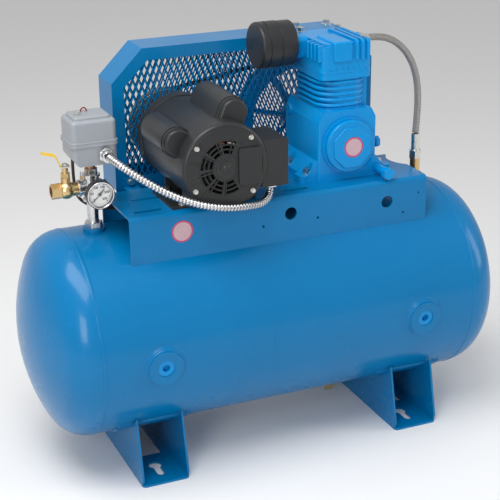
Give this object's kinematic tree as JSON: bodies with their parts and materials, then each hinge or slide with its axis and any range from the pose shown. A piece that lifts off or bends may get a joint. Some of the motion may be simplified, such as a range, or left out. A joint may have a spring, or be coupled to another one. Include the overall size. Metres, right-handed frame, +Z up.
{
  "type": "belt-driven air compressor",
  "caption": "Electric air compressor on a horizontal receiver: motor, belt drive under a mesh guard, finned pump, pressure switch, gauge, ball valve and braided discharge hose.",
  "frame": {"origin": "on the floor, below the middle of the tank, at the centre of the four foot keyholes", "axes": "+X along the tank to the pump end, +Y away from the service side with the gauge and drain, +Z up"},
  "size_m": [0.9896, 0.4148, 0.831],
  "materials": {
    "tank_blue": "glossy enamel",
    "pump_blue": "glossy enamel over a casting",
    "black_paint": "satin",
    "black_plastic": "satin",
    "grey_plastic": "matte",
    "zinc_steel": "bright zinc plate",
    "bare_steel": "machined",
    "laminations": "varnished",
    "aluminium": "as cast",
    "cast_iron": "machined",
    "brass": "satin",
    "belt_rubber": "matte",
    "hose_braid": "braided wire",
    "conduit_steel": "galvanised, ribbed",
    "tube_black": "smooth nylon",
    "dial_white": "printed",
    "lens": "clear",
    "needle_black": "matte",
    "yellow_grip": "dipped",
    "paper": "pleated paper"
  },
  "bodies": {
    "frame": {"tank_shell": "tank_blue", "tank_heads": "tank_blue", "tank_sockets": "tank_blue", "tank_pads": "tank_blue", "foot_left": "tank_blue", "foot_right": "tank_blue", "platform": "tank_blue", "guard_front": "tank_blue", "guard_rear": "tank_blue", "guard_mesh": "tank_blue", "guard_brackets": "tank_blue", "v_belt": "belt_rubber", "motor_shell": "black_paint", "motor_bell_front": "black_paint", "motor_bell_rear": "black_paint", "motor_stator": "laminations", "motor_base": "black_paint", "motor_screws": "zinc_steel", "capacitor_covers": "black_paint", "capacitors": "black_plastic", "junction_box": "black_plastic", "crankcase": "pump_blue", "bearing_cover": "pump_blue", "ball_bearings": "bare_steel", "pistons": "aluminium", "connecting_rods": "aluminium", "cylinder_block": "pump_blue", "valve_plate": "pump_blue", "cylinder_head": "pump_blue", "hex_bolts": "zinc_steel", "pipe_plugs": "pump_blue", "filter_base": "black_plastic", "filter_cover": "black_plastic", "filter_element": "paper", "manifold": "zinc_steel", "gauge_case": "black_plastic", "gauge_dial": "dial_white", "gauge_lens": "lens", "ball_valve_body": "brass", "safety_valve": "brass", "switch_base": "grey_plastic", "switch_cover": "grey_plastic", "unloader_tube": "tube_black", "discharge_fitting": "zinc_steel", "discharge_hose": "hose_braid", "check_valve_body": "brass", "conduit": "conduit_steel", "conduit_connectors": "zinc_steel", "drain_valve": "brass"},
    "crank": {"crankshaft": "bare_steel", "flywheel": "pump_blue"},
    "motor_drive": {"motor_rotor": "laminations", "motor_shaft": "bare_steel", "motor_pulley": "aluminium"},
    "outlet_lever": {"valve_lever": "yellow_grip", "valve_ball": "zinc_steel"},
    "needle": {"gauge_needle": "needle_black"},
    "relief_ring": {"safety_ring": "zinc_steel"},
    "check_disc": {"check_valve_disc": "bare_steel"},
    "drain_cock": {"drain_handle": "brass"}
  },
  "joints": [
    {"name": "crank_spin", "type": "hinge", "parent": "frame", "child": "crank", "pos_m": [0.1655, 0, 0.595], "axis": [0, 1, 0], "continuous": true, "deforming": ["connecting_rods", "pistons"]},
    {"name": "motor_spin", "type": "hinge", "parent": "frame", "child": "motor_drive", "pos_m": [-0.132, 0, 0.6139], "axis": [0, 1, 0], "continuous": true},
    {"name": "outlet_turn", "type": "hinge", "parent": "frame", "child": "outlet_lever", "pos_m": [-0.39, 0, 0.558], "axis": [0, 0, 1], "range_deg": [0, 90]},
    {"name": "needle_turn", "type": "hinge", "parent": "frame", "child": "needle", "pos_m": [-0.3405, -0.06, 0.558], "axis": [0, 1, 0], "range_deg": [0, 270], "stiffness_Nm_per_rad": 0.0005},
    {"name": "relief_pull", "type": "slide", "parent": "frame", "child": "relief_ring", "axis": [0, 1, 0], "range_m": [0, 0.005], "stiffness_N_per_m": 1500},
    {"name": "check_lift", "type": "slide", "parent": "frame", "child": "check_disc", "axis": [0, 0, -1], "range_m": [0, 0.004], "stiffness_N_per_m": 200},
    {"name": "drain_turn", "type": "hinge", "parent": "frame", "child": "drain_cock", "pos_m": [0.168, 0, 0.03], "axis": [0, 0, 1], "range_deg": [0, 90]}
  ],
  "couplings": [
    {"joint": "motor_spin", "follows": "crank_spin", "ratio": 1.9155}
  ]
}
